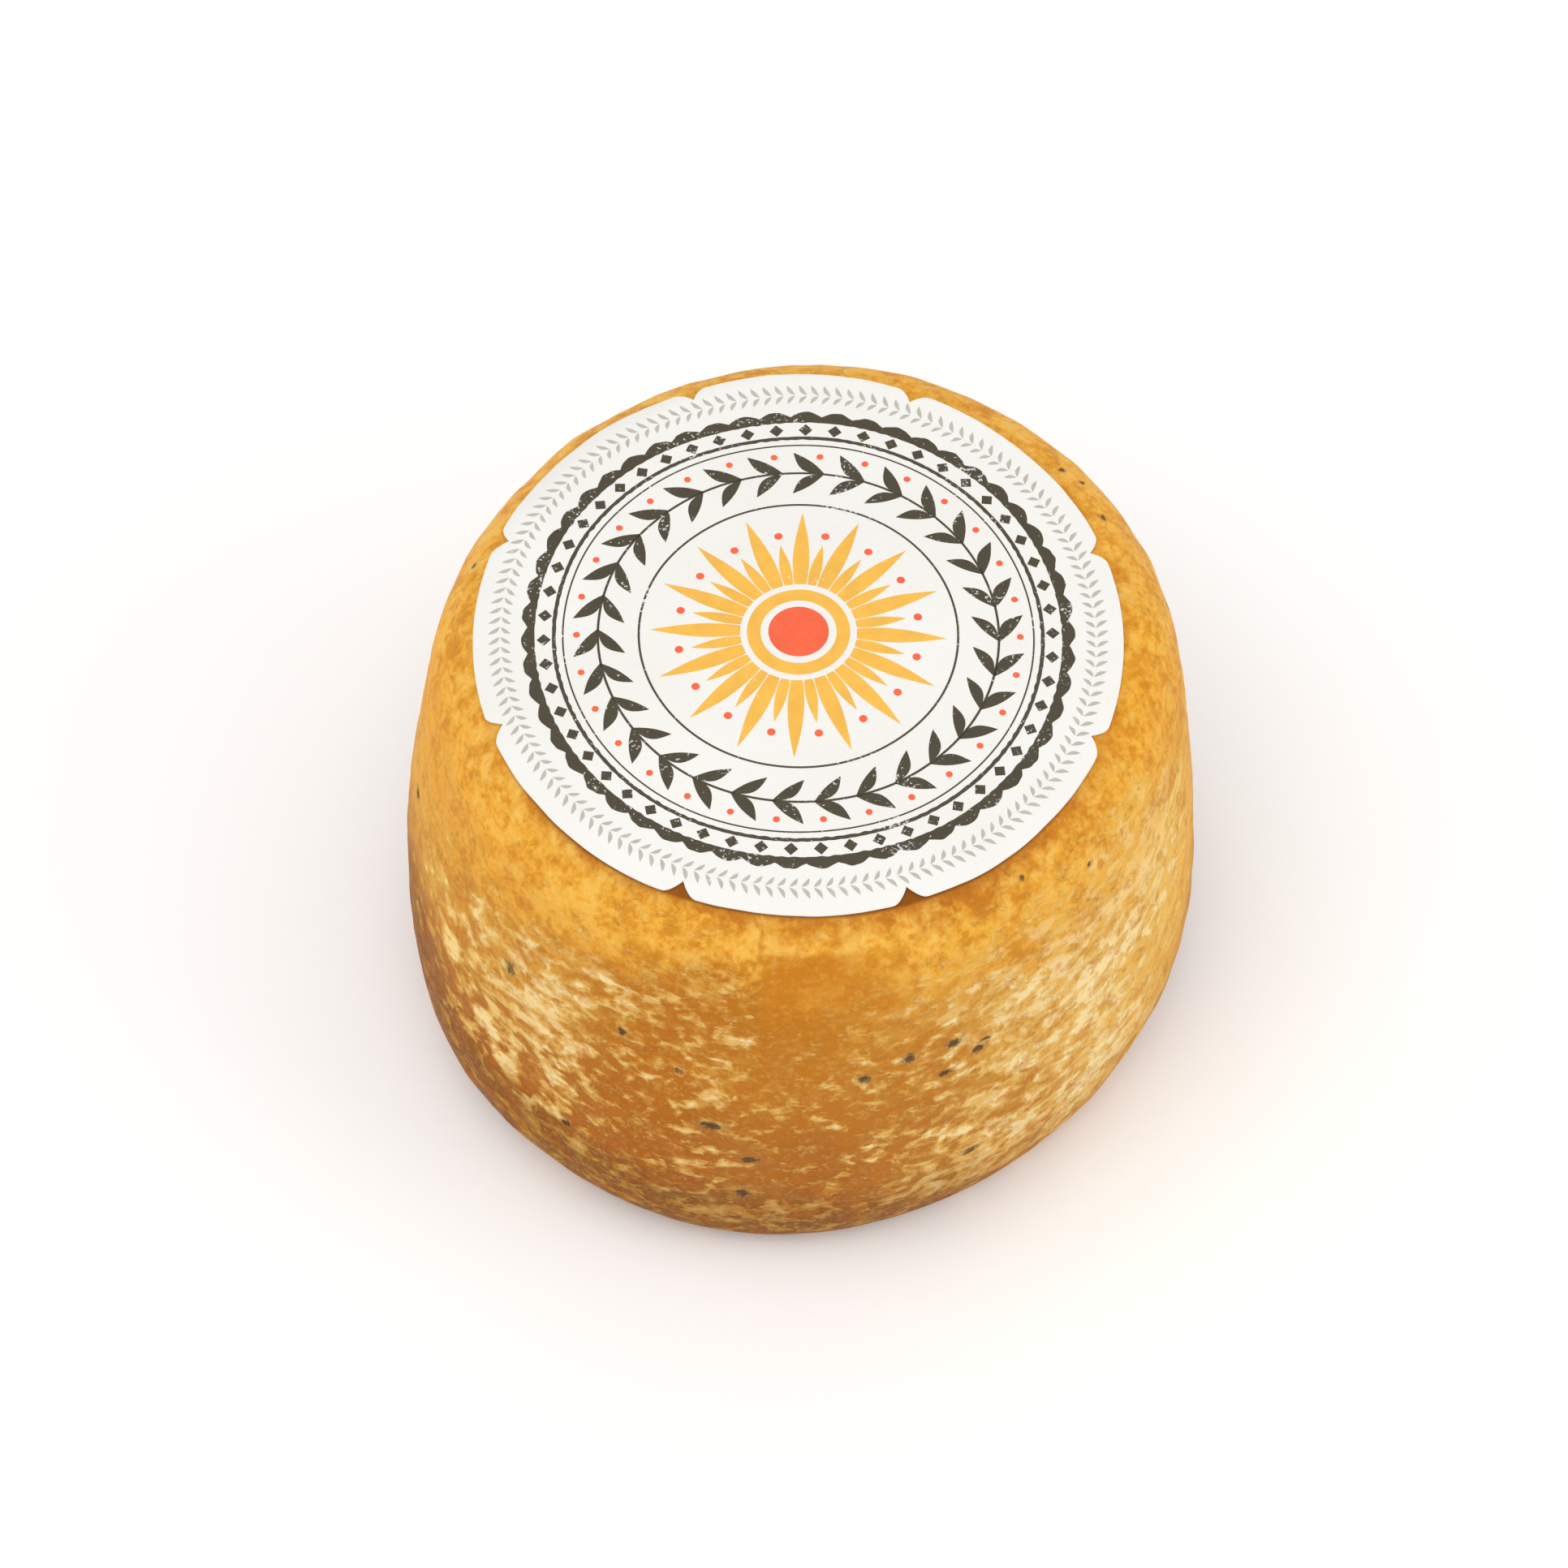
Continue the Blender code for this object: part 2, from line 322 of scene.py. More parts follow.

# Where pale flakes lie thickest, where the smoke took least and left the rind gilt, and where the rind
# is darkest brown, from smoke and partly from painted shade low on the left. Each spot is an azimuth in
# degrees, a height, half a width and half a height, and an amount.
FLAKED_SPOTS = (
    (-136.0, 0.0520, 0.0260, 0.0310, 0.48),
    (-111.0, 0.0690, 0.0110, 0.0170, 0.15),
    (-102.0, 0.0480, 0.0070, 0.0320, 0.17),
    (-54.0, 0.0560, 0.0260, 0.0300, 0.46),
    (-26.0, 0.0540, 0.0180, 0.0320, 0.36),
    (-14.0, 0.0760, 0.0340, 0.0110, 0.42),
    (-45.0, 0.0200, 0.0320, 0.0140, 0.40),
    (-98.0, 0.0140, 0.0280, 0.0070, 0.30),
    (22.0, 0.0420, 0.0220, 0.0300, 0.38),
    (72.0, 0.0600, 0.0280, 0.0280, 0.48),
    (118.0, 0.0380, 0.0260, 0.0260, 0.45),
    (162.0, 0.0560, 0.0180, 0.0260, 0.34),
    (-133.0, 0.0670, 0.0022, 0.0018, 0.40),
    (-149.0, 0.0520, 0.0028, 0.0028, 0.45),
    (-135.0, 0.0320, 0.0026, 0.0022, 0.45),
    (-57.0, 0.0410, 0.0018, 0.0018, 0.55),
    (-15.0, 0.0780, 0.0026, 0.0020, 0.45),
    (-48.5, 0.0820, 0.0016, 0.0014, 0.45),
)
GILT_SPOTS = (
    (-20.0, 0.0560, 0.0480, 0.0560, 1.00),
    (-66.0, 0.0850, 0.0120, 0.0120, 0.40),
    (-176.0, 0.0680, 0.0320, 0.0260, 0.85),
    (-138.0, 0.0640, 0.0180, 0.0200, 0.32),
    (70.0, 0.0550, 0.0380, 0.0400, 0.60),
    (130.0, 0.0600, 0.0250, 0.0300, 0.40),
)
SMOKE_AND_SHADE_SPOTS = (
    (-162.0, 0.0320, 0.0200, 0.0170, 0.74),
    (-130.0, 0.0165, 0.0300, 0.0115, 0.58),
    (-87.0, 0.0115, 0.0030, 0.0030, 0.60),
    (-113.0, 0.0850, 0.0050, 0.0040, 0.25),
    (-120.0, 0.0930, 0.0060, 0.0030, 0.20),
    (-142.0, 0.0440, 0.0020, 0.0020, 0.35),
    (-38.0, 0.0530, 0.0040, 0.0025, 0.35),
    (50.0, 0.0300, 0.0160, 0.0120, 0.30),
    (150.0, 0.0250, 0.0200, 0.0100, 0.30),
)
# Sides with a warmer tone, which on the left side is painted warm shade: azimuth, half a turn in
# degrees, amount, and the heights it fades between
WARM_SIDES = (
    (-170.0, 28.0, 1.0, 0.086, 0.096),
    (-10.0, 16.0, 0.6, 2.0 * HEIGHT, 3.0 * HEIGHT),
    (-128.0, 24.0, 0.9, 0.016, 0.034),
)
DRIFT_WAVES, DRIFT_AMOUNT = (57, 12, 0.022, 0.060), 0.05
FLAKED_ALL_OVER, LESS_FLAKED_ON_TOP, FLAKED_TOP_FADE = 0.30, 0.22, (0.086, 0.097)
GOLD_FADE, GOLD_LOWER_BESIDE, GOLD_HIGHEST_AT = (0.074, 0.102), 0.016, (-98.0, 36.0)
FOOT_SMOKE_AND_SHADE_FADE, LESS_SMOKE_AND_SHADE, LEAST_SMOKE_AND_SHADE_AT = (-0.037, -0.004), 0.85, (-34.0, 30.0)
LESS_GILT_UNDER_SMOKE_AND_SHADE = 0.6
LEAST_OILED, MORE_OILED, MOST_OILED_AT = 0.24, 0.48, (-62.0, 34.0)

drift = DRIFT_AMOUNT * plane_waves(smooth, *DRIFT_WAVES) / math.sqrt(DRIFT_WAVES[1] / 2.0)
flaking = FLAKED_ALL_OVER + drift + bells(FLAKED_SPOTS, azimuth, radius, height)
flaking = flaking - LESS_FLAKED_ON_TOP * rising(height, *FLAKED_TOP_FADE)
# Gold over the shoulder, reaching lowest at the front: the rind's colour and partly painted top light on the
# shoulder
gold_and_top_light = rising(height + GOLD_LOWER_BESIDE * (1.0 - round_bell(azimuth, *GOLD_HIGHEST_AT)), *GOLD_FADE)
# Darker brown towards the foot, least on the right where the light falls: smoke colour and painted shade
smoke_and_shade = rising(-height, *FOOT_SMOKE_AND_SHADE_FADE) * (1.0 - LESS_SMOKE_AND_SHADE * round_bell(azimuth, *LEAST_SMOKE_AND_SHADE_AT))
smoke_and_shade = np.clip(smoke_and_shade + bells(SMOKE_AND_SHADE_SPOTS, azimuth, radius, height), 0.0, 1.0)
gilt = np.clip(drift + bells(GILT_SPOTS, azimuth, radius, height), 0.0, 1.0)
gilt = gilt * (1.0 - LESS_GILT_UNDER_SMOKE_AND_SHADE * smoke_and_shade)
oiled = LEAST_OILED + MORE_OILED * round_bell(azimuth, *MOST_OILED_AT)
warm = sum(
    amount * round_bell(azimuth, towards, half_turn) * rising(-height, -gone, -full)
    for towards, half_turn, amount, full, gone in WARM_SIDES
)
for name, values in (
    ("flaking", flaking), ("gold_and_top_light", gold_and_top_light), ("smoke_and_shade", smoke_and_shade), ("gilt", gilt), ("oiled", oiled),
    ("warm", warm), ("dent", dent), ("fold", fold), ("pit", pit), ("crease", crease),
):
    set_value(rind_mesh, name, values)


class Wire:
    """One socket of a material. Sums and products with numbers or wires add Math nodes to the material."""

    def __init__(self, socket):
        self.socket = socket

    def node(self, kind, settings, values, out=0):
        """Adds a node: its settings first, then a number or a wire for each of its sockets named."""
        tree = self.socket.id_data
        made = tree.nodes.new("ShaderNode" + kind)
        for name, setting in settings.items():
            setattr(made, name, setting)
        for name, value in values.items():
            if isinstance(value, Wire):
                tree.links.new(value.socket, made.inputs[name])
            else:
                made.inputs[name].default_value = value
        return Wire(made.outputs[out])

    def math(self, operation, *terms):
        """A Math node over the terms."""
        return self.node("Math", {"operation": operation}, dict(enumerate(terms)))

    def __add__(self, other):
        return self.math("ADD", self, other)

    def __sub__(self, other):
        return self.math("SUBTRACT", self, other)

    def __rsub__(self, other):
        return self.math("SUBTRACT", other, self)

    def __mul__(self, other):
        return self.math("MULTIPLY", self, other)

    __radd__ = __add__
    __rmul__ = __mul__

    def moved(self, operation, by):
        """A vector changed by a Vector Math node."""
        return self.node("VectorMath", {"operation": operation}, {0: self, 1: by})

    def step(self, low, high):
        """A smooth step of this value, from 0 at low to 1 at high. Low may be the greater."""
        ends = {"Value": self, "From Min": low, "From Max": high}
        return self.node("MapRange", {"interpolation_type": "SMOOTHSTEP"}, ends)

    def blend(self, below, above):
        """The colour below, covered by the colour above as far as this mask goes."""
        colours = {0: self, 6: below, 7: above}
        return self.node("Mix", {"data_type": "RGBA", "clamp_factor": True}, colours, out=2)

    def noise(self, size, detail, rough, warp=0.0, out=0):
        """Cloud noise at this place, with lumps of about the given size in metres."""
        values = {"Vector": self, "Scale": 1.0 / size, "Detail": detail, "Roughness": rough}
        return self.node("TexNoise", {}, {**values, "Distortion": warp}, out)

    def attribute(self, name):
        """The number that the mesh keeps for each point under this name."""
        return self.node("Attribute", {"attribute_name": name}, {}, out=2)


def start_material(name, **constants):
    """A new material: its Principled shader, and a wire with the piece's own coordinates in metres."""
    material = bpy.data.materials.new(name)
    material.use_nodes = True
    shader = material.node_tree.nodes["Principled BSDF"]
    for socket, value in constants.items():
        shader.inputs[socket.replace("_", " ")].default_value = value
    place = Wire(material.node_tree.nodes.new("ShaderNodeTexCoord").outputs["Object"])
    return material, shader, place


def finish_material(material, shader, colour, roughness, relief, strength, distance):
    """Feeds the shader its colour and roughness, and its relief through a Bump node."""
    bump = relief.node("Bump", {}, {"Strength": strength, "Distance": distance, "Height": relief})
    for socket, wire in (("Base Color", colour), ("Roughness", roughness), ("Normal", bump)):
        material.node_tree.links.new(wire.socket, shader.inputs[socket])
    return material


def paint(code):
    """Linear colour of a six-figure screen colour: each part over 255, to the power 2.2 or so."""
    parts = np.array([int(code[i:i + 2], 16) for i in (0, 2, 4)]) / 255.0
    linear = np.where(parts <= 0.04045, parts / 12.92, ((parts + 0.055) / 1.055) ** 2.4)
    return tuple(linear.tolist()) + (1.0,)


def rind_finish():
    """Smoked, oiled rind: gold to brown by height, pale flakes along the side, grain, creases and pits."""
    material, shader, place = start_material(
        "smoked_rind", Specular_IOR_Level=0.08, Subsurface_Weight=0.05, Subsurface_Scale=0.002
    )
    shader.inputs["Subsurface Radius"].default_value = (1.0, 0.45, 0.15)
    parts = place.node("SeparateXYZ", {}, {0: place})
    up = Wire(parts.socket.node.outputs["Z"])
    cloud = place.noise(0.016, 4.0, 0.6)
    level = up + cloud * 0.026 - 0.013
    gilt = place.attribute("gilt")
    speck = place.noise(0.0034, 4.0, 0.62, 0.4)
    # The shoulder's gold, partly painted light of the top lamp on the upward face
    gold_and_top_light = (place.attribute("gold_and_top_light") + cloud * 1.4 + speck * 0.9 - 1.15).step(0.05, 0.85)
    dent_mask = place.attribute("dent")
    # Base colour, darker from the side's middle down to the foot: the rind's browner tone and partly painted
    # shade of the lower side
    colour = level.step(0.068, 0.030).blend(paint("BC7113"), paint("A75C10"))
    colour = (gilt * 0.95).blend(colour, paint("F8C152"))
    # Smoke brown, partly painted shade of the foot and the lower left side
    smoke_and_shade = (place.attribute("smoke_and_shade") + cloud * 0.6 - 0.3).step(0.08, 0.92)
    colour = smoke_and_shade.blend(colour, paint("81480F"))
    colour = gold_and_top_light.blend(colour, gilt.blend(paint("F1AD3A"), paint("F0AF3A")))
    fine = place.noise(0.0012, 3.0, 0.65, 0.3)
    deep = (place.noise(0.0090, 4.0, 0.62, 0.2) + (fine - 0.5) * 0.22).step(0.49, 0.63)
    deep = deep * up.step(0.060, 0.080)
    colour = (deep * 0.42).blend(colour, paint("D5871C"))
    # Painted shade: the dent below the front shoulder takes a deeper orange
    colour = (dent_mask * 0.90).blend(colour, paint("CC7D16"))

    # The pale flakes: torn skin, a little longer round the side than high, joined into a web by veins
    along = place.node("Mapping", {"vector_type": "POINT"}, {"Vector": place, "Scale": (0.66, 0.66, 1.0)})
    wander = place.noise(0.0065, 2.0, 0.5, 0.0, out=1).moved("SUBTRACT", (0.5, 0.5, 0.5))
    along = along.moved("ADD", wander.moved("MULTIPLY", (0.0030, 0.0030, 0.0030)))
    clump = along.noise(0.0030, 3.0, 0.48, 0.1)
    patch = along.noise(0.0100, 2.0, 0.50, 0.0)
    crumb = place.noise(0.0011, 2.0, 0.50, 0.0)
    tear = along.noise(0.0017, 3.0, 0.55, 0.2)
    split = along.noise(0.0056, 2.0, 0.50, 0.2)
    density = place.attribute("flaking") - dent_mask * 0.30
    vein = (split - 0.5).math("ABSOLUTE").step(0.040, 0.000)
    thick = clump * 0.54 + patch * 0.16 + tear * 0.30 + vein * 0.05 + density * 0.30 - 0.155
    # Painted shade in the hollows between the flakes, where they lie thick
    low = thick.step(0.490, 0.420) * place.attribute("flaking").step(0.32, 0.60) * (1.0 - gilt * 0.45)
    colour = (low * 0.50).blend(colour, paint("B0661B"))
    shown = 1.0 - gold_and_top_light * 0.6
    haze = thick.step(0.492, 0.522)
    flake = thick.step(0.526, 0.556)
    core = thick.step(0.570, 0.620)
    colour = (haze * 0.62 * shown).blend(colour, gilt.blend(paint("DA9B3F"), paint("F3C66E")))
    colour = (flake * (0.36 + crumb * 0.60) * shown).blend(colour, paint("ECC06D"))
    core_cover = 0.30 + crumb * 0.60 + patch.step(0.46, 0.60) * 0.30
    colour = (core * core_cover * shown).blend(colour, paint("F8E0A6"))

    # Thin wisps of the same skin where there are few flakes
    drawn = place.node("Mapping", {"vector_type": "POINT"}, {"Vector": place, "Scale": (0.55, 0.55, 1.0)})
    drawn = drawn.moved("ADD", wander.moved("MULTIPLY", (0.0024, 0.0024, 0.0024)))
    wisp = (drawn.noise(0.0030, 4.0, 0.62, 0.0) * 0.8 + crumb * 0.2).step(0.590, 0.625)
    colour = (wisp * (0.10 + crumb * 0.85) * shown * (1.0 - dent_mask * 0.8)).blend(colour, paint("E6B25C"))

    # Smoke brown, which is also painted shade towards the foot and on the lower left, lies over skin and
    # flakes alike
    colour = (smoke_and_shade * 0.60).blend(colour, paint("7C4810"))
    tan_speck = (crumb * 0.5 + clump * 0.5).step(0.47, 0.60) * level.step(0.034, 0.016)
    colour = (tan_speck * 0.50).blend(colour, paint("C8964A"))

    # Fine mottling everywhere, lighter on the shoulder and darker below
    on_shoulder = up.step(0.076, 0.094)
    blotch = place.noise(0.0070, 3.0, 0.55, 0.3)
    mottle = fine * 0.30 + speck * 0.38 + blotch * 0.32
    plain = 1.0 - dent_mask * 0.75
    pale_mottle = mottle.step(0.475, 0.59) * (0.10 + on_shoulder * 0.50) * plain
    colour = pale_mottle.blend(colour, paint("F5C764"))
    dark_mottle = mottle.step(0.51, 0.41) * 0.50 * plain
    colour = dark_mottle.blend(colour, paint("C27416"))
    colour = (fine.step(0.50, 0.70) * 0.14).blend(colour, paint("F5D081"))

    # Painted shade in the creases and in the fold's groove
    crease = place.attribute("crease").step(0.55, 0.95) * speck.step(0.40, 0.55)
    colour = (crease * 0.30).blend(colour, paint("95561A"))
    colour = (place.attribute("fold").step(0.15, 0.85) * 0.28).blend(colour, paint("9A5A1C"))

    # Mould in the pits: dark within, with a greyish rim, both made ragged by noise
    pit_place = place.attribute("pit") + (place.noise(0.0010, 3.0, 0.6) - 0.5) * 2.2
    pit_mask = pit_place.step(1.25, 0.50)
    rim_mask = pit_place.step(2.1, 1.3)
    colour = (rim_mask * 0.30).blend(colour, paint("A17C4C"))
    colour = (pit_mask * 0.82).blend(colour, paint("3A3129"))

    # The oiled halo round the label, with fine hairs that point away from its middle
    on_top = up.step(0.084, 0.092)
    spot = place.moved("SUBTRACT", (*(np.array(LABEL_OFFSET) - middle), 0.0))
    flat_spot = spot.moved("MULTIPLY", (1.0, 1.0, 0.0))
    reach = flat_spot.node("VectorMath", {"operation": "LENGTH"}, {0: flat_spot}, out=1)
    ray = flat_spot.node("VectorMath", {"operation": "NORMALIZE"}, {0: flat_spot})
    spread = ray.moved("MULTIPLY", (LABEL_RADIUS, LABEL_RADIUS, 0.0))
    stretched = spread.moved("ADD", flat_spot.moved("MULTIPLY", (0.22, 0.22, 0.0)))
    hair = stretched.noise(0.0006, 3.0, 0.6, 0.3)
    oiled = place.attribute("oiled") + place.noise(0.012, 2.0, 0.5).step(0.40, 0.65) * 0.15
    fringe = reach.step(LABEL_RADIUS + 0.0060, LABEL_RADIUS + 0.0010) * hair.step(0.50, 0.64)
    fringe = fringe * speck.step(0.46, 0.60) * on_top
    colour = (fringe * 0.28).blend(colour, paint("F7CC70"))
    frayed = reach + (speck - 0.5) * 0.012 + (hair - 0.5) * 0.004 - oiled * 0.0030
    halo = frayed.step(LABEL_RADIUS + 0.0040, LABEL_RADIUS - 0.0020) * on_top
    colour = (halo * oiled * (0.72 + 0.28 * hair.step(0.35, 0.62))).blend(colour, paint("BC6C1A"))

    # Painted shadow of the label's rim on the rind, with darker oil, on the side towards the camera: a soft
    # brown band and a thin dark line just under the rim
    front = Wire(parts.socket.node.outputs["Y"]).step(-0.020, -0.048)
    rim_oil_and_shade = (reach + (speck - 0.5) * 0.005).step(LABEL_RADIUS + 0.0020, LABEL_RADIUS + 0.0002)
    colour = (rim_oil_and_shade * front * on_top * 0.45).blend(colour, paint("AE6218"))
    painted_rim_shadow = reach.step(LABEL_RADIUS + 0.0005, LABEL_RADIUS - 0.0002) * on_top
    colour = (painted_rim_shadow * (front * 0.80 + 0.05)).blend(colour, paint("87490F"))
    # A warm tint over the sides; on the left side it is painted warm shade
    tint = {0: place.attribute("warm"), 6: colour, 7: (1.0, 0.92, 0.58, 1.0)}
    colour = place.node("Mix", {"data_type": "RGBA", "blend_type": "MULTIPLY"}, tint, out=2)

    roughness = 0.54 + haze * 0.06 + flake * 0.08 + (fine - 0.5) * 0.15
    relief = haze * 0.25 + flake * 0.35 + core * 0.30 - low * 0.30 + wisp * 0.25 + tear * 0.6
    relief = relief + fine * 0.40 + speck * 0.50 + halo * hair * 0.25 - pit_mask * 1.2
    return finish_material(material, shader, colour, roughness, relief, 0.90, 0.00045)


rind = add_piece("rind", rind_mesh, rind_finish())
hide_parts("wheel")

# The label: a disc of stiff coated paper with eight small V notches in its rim, so that the rim could be
# folded over the shoulder. It is glued on the crown, and its rim stands a little off the rind.
NOTCH_DEPTH = 0.0024
NOTCH_HALF_ANGLE = math.radians(3.2)
NOTCH_ROUNDING = 1.8
NARROW_PETAL_HALF_ANGLE = math.radians(20.6)
LABEL_TURN = math.radians(1.0)
LABEL_THICKNESS = 0.00026
LABEL_GAP = 0.00014
RIM_LIFT = 0.00022
PETALS = 8
PETAL_COLUMNS = 72
CROWDING = 0.65
RIM_START = 0.90


def rim_shape():
    """Angle and radius round the label's rim, one petal after another.

    A notch takes its depth times one less the share of its half angle, to a power that rounds its corners.
    """
    pitch = 2.0 * math.pi / PETALS
    share = 2.0 * np.arange(PETAL_COLUMNS) / PETAL_COLUMNS - 1.0
    crowded = (1.0 - CROWDING) * share + CROWDING * np.sin(0.5 * math.pi * share)
    halves = np.array([NARROW_PETAL_HALF_ANGLE, pitch - NARROW_PETAL_HALF_ANGLE] * (PETALS // 2))[:, None]
    middles = pitch * np.arange(PETALS)[:, None]
    from_notch = halves * (1.0 - np.abs(crowded))
    cut = NOTCH_DEPTH * np.clip(1.0 - from_notch / NOTCH_HALF_ANGLE, 0.0, 1.0) ** NOTCH_ROUNDING
    return (middles + halves * crowded + LABEL_TURN).ravel(), (LABEL_RADIUS - cut).ravel()


FIELD_STEP = 0.00025
field_radii = np.arange(0.0, LABEL_RADIUS + 0.006, FIELD_STEP)
crown_rows = CROWN_ROWS + SHOULDER_ROWS
field = np.stack([
    np.interp(field_radii, radius[:crown_rows, column], height[:crown_rows, column])
    for column in range(COLUMNS)
])


def crown_height(x, y):
    """Height of the rind under a place given from the label's middle, read between the rind's own points."""
    x, y = x + LABEL_OFFSET[0], y + LABEL_OFFSET[1]
    column = np.arctan2(y, x) % (2.0 * math.pi) / (2.0 * math.pi) * COLUMNS
    step = np.clip(np.hypot(x, y) / FIELD_STEP, 0.0, len(field_radii) - 1.001)
    left, low = np.floor(column).astype(int), np.floor(step).astype(int)
    turn_share, out_share = column - left, step - low
    left, right = left % COLUMNS, (left + 1) % COLUMNS
    near = field[left, low] * (1.0 - turn_share) + field[right, low] * turn_share
    far = field[left, low + 1] * (1.0 - turn_share) + field[right, low + 1] * turn_share
    return near * (1.0 - out_share) + far * out_share


def paper_height(x, y):
    """Height of the label's upper face: the crown, the glue line, the lift of the rim, and the paper."""
    out = np.hypot(x, y) / LABEL_RADIUS
    angle = np.arctan2(y, x)
    wave = 1.0 + 0.45 * np.sin(5.0 * angle + 0.6) + 0.35 * np.sin(11.0 * angle + 2.1)
    lift = RIM_LIFT * wave * rising(out, RIM_START, 1.0)
    return crown_height(x, y) + LABEL_GAP + lift + LABEL_THICKNESS


def on_label(x, y, proud):
    """Points of the row frame from places on the label, raised by proud above the paper."""
    centre = np.array(LABEL_OFFSET) - middle
    return np.stack([x + centre[0], y + centre[1], paper_height(x, y) + proud], axis=-1)


def paper_skin():
    """Top of the paper from the middle out to the rim, then its underside back in to the middle."""
    angle, rim = rim_shape()
    out = np.concatenate([np.linspace(0.0, 0.88, 20), np.linspace(0.90, 1.0, 16)])
    back = np.concatenate([np.linspace(1.0, 0.90, 10), np.linspace(0.85, 0.0, 8)])
    share = np.concatenate([out, back])[:, None]
    proud = np.concatenate([np.zeros(len(out)), np.full(len(back), -LABEL_THICKNESS)])[:, None]
    return on_label(share * rim * np.cos(angle), share * rim * np.sin(angle), proud)


PAPER = paint("F4F2EC")


def paper_finish():
    """Matt coated paper: near white, with a faint fibre and a slight cloudy shade."""
    material, shader, place = start_material("coated_paper", Specular_IOR_Level=0.35)
    fibre = place.noise(0.0007, 4.0, 0.6)
    cloud = place.noise(0.030, 2.0, 0.5)
    colour = (cloud.step(0.35, 0.75) * 0.4).blend(PAPER, paint("ECE9E2"))
    colour = (fibre.step(0.50, 0.75) * 0.20).blend(colour, paint("E0DCD2"))
    return finish_material(material, shader, colour, 0.52 + fibre * 0.08, fibre, 0.12, 0.00005)


label_mesh = closed_skin("paper_label", paper_skin())
label_mesh.set_sharp_from_angle(angle=math.radians(50.0))
label = add_piece("paper_label", label_mesh, paper_finish())
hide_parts("label")

# The print: four flat inks laid on the paper, one after another. Grey is a braid of grain round the rim,
# dark brown a scalloped band and a wreath, amber a sun, and coral its heart and the berries.
INK_PROUD = 0.00003
INK_SUNK = 0.00005
LEAST_HALF_WIDTH = 0.00002
DARK, AMBER, CORAL, GREY = paint("4E4736"), paint("FABF50"), paint("FD6A45"), paint("C2BEB4")


def ink_shapes(left, right, across=1, ring=False):
    """Closed flat solids between two edges, each given as shapes by stations by x and y.

    Every station is a loop: over the top from left to right, back underneath. A ring joins up end to end.
    """
    shapes, stations = left.shape[:2]
    share = np.linspace(0.0, 1.0, across + 1)[:, None]
    over = left[:, :, None] * (1.0 - share) + right[:, :, None] * share
    loop = np.concatenate([over, over[:, :, ::-1]], axis=2)
    corners = loop.shape[2]
    proud = np.repeat([INK_PROUD, -INK_SUNK], across + 1)
    points = on_label(loop[..., 0], loop[..., 1], proud).reshape(-1, 3)
    number = np.arange(shapes * stations * corners).reshape(shapes, stations, corners)
    here, there = (number, np.roll(number, -1, axis=1)) if ring else (number[:, :-1], number[:, 1:])
    round_here, round_there = np.roll(here, -1, axis=2), np.roll(there, -1, axis=2)
    faces = np.stack([here, round_here, round_there, there], axis=-1).reshape(-1, 4)
    if not ring:
        near = np.arange(across)
        under = corners - 1 - near
        first, last = number[:, 0], number[:, -1]
        ends = [first[:, near], first[:, under], first[:, under - 1], first[:, near + 1]]
        tails = [last[:, near + 1], last[:, under - 1], last[:, under], last[:, near]]
        caps = [np.stack(end, axis=-1).reshape(-1, 4) for end in (ends, tails)]
        faces = np.concatenate([faces, *caps])
    return points, faces


def joined(name, parts):
    """One mesh from several sets of points and faces."""
    points = np.concatenate([part[0] for part in parts])
    starts = np.cumsum([0] + [len(part[0]) for part in parts[:-1]])
    faces = np.concatenate([part[1] + start for part, start in zip(parts, starts)])
    mesh = bpy.data.meshes.new(name)
    mesh.from_pydata(points.tolist(), [], faces.tolist())
    return mesh


def plan(radius, angle):
    """Places on the label from radii and angles about its middle."""
    return np.stack([radius * np.cos(angle), radius * np.sin(angle)], axis=-1)


def strokes(start, end, half_width, bow=0.0, stations=13, across=2, blunt=0.0):
    """Lens strokes from start to end: half width times the sine of the way along, bowed to one side."""
    way = np.linspace(0.0, 1.0, stations)[None, :, None]
    run = end - start
    side = np.stack([-run[:, 1], run[:, 0]], axis=-1) / np.linalg.norm(run, axis=1)[:, None]
    spine = start[:, None] + run[:, None] * way + side[:, None] * bow * np.sin(math.pi * way)
    width = half_width * np.sin(math.pi * (blunt + (1.0 - blunt) * way)) + LEAST_HALF_WIDTH
    return ink_shapes(spine + side[:, None] * width, spine - side[:, None] * width, across)


def ring_band(inner, outer, stations=1440, across=1):
    """A ring between two edges, each a number or a function of the angle."""
    angle = 2.0 * math.pi * np.arange(stations) / stations
    edges = [edge(angle) if callable(edge) else np.full(stations, edge) for edge in (inner, outer)]
    return ink_shapes(plan(edges[0], angle)[None], plan(edges[1], angle)[None], across, ring=True)


def dots(centres, size, stations=13):
    """Round dots: two edges that meet half a turn round from each other."""
    turn = np.linspace(0.02, math.pi - 0.02, stations)
    left = centres[:, None] + size * np.stack([-np.cos(turn), np.sin(turn)], axis=-1)
    right = centres[:, None] + size * np.stack([-np.cos(turn), -np.sin(turn)], axis=-1)
    return ink_shapes(left, right, across=max(2, int(size / 0.0015)))


def spaced(count, start=0.0):
    """Angles evenly round the label, the first one a share of a step on from zero."""
    return 2.0 * math.pi * (np.arange(count) + start) / count


def hand_cut(seed, count, depth):
    """An uneven edge, as a hand cuts it: a sum of whole waves round the ring with drawn phases."""
    draw = np.random.RandomState(seed)
    waves = draw.randint(20, 160, count)
    phases = draw.uniform(0.0, 2.0 * math.pi, count)
    return lambda angle: depth * sum(np.sin(n * angle + phase) for n, phase in zip(waves, phases))


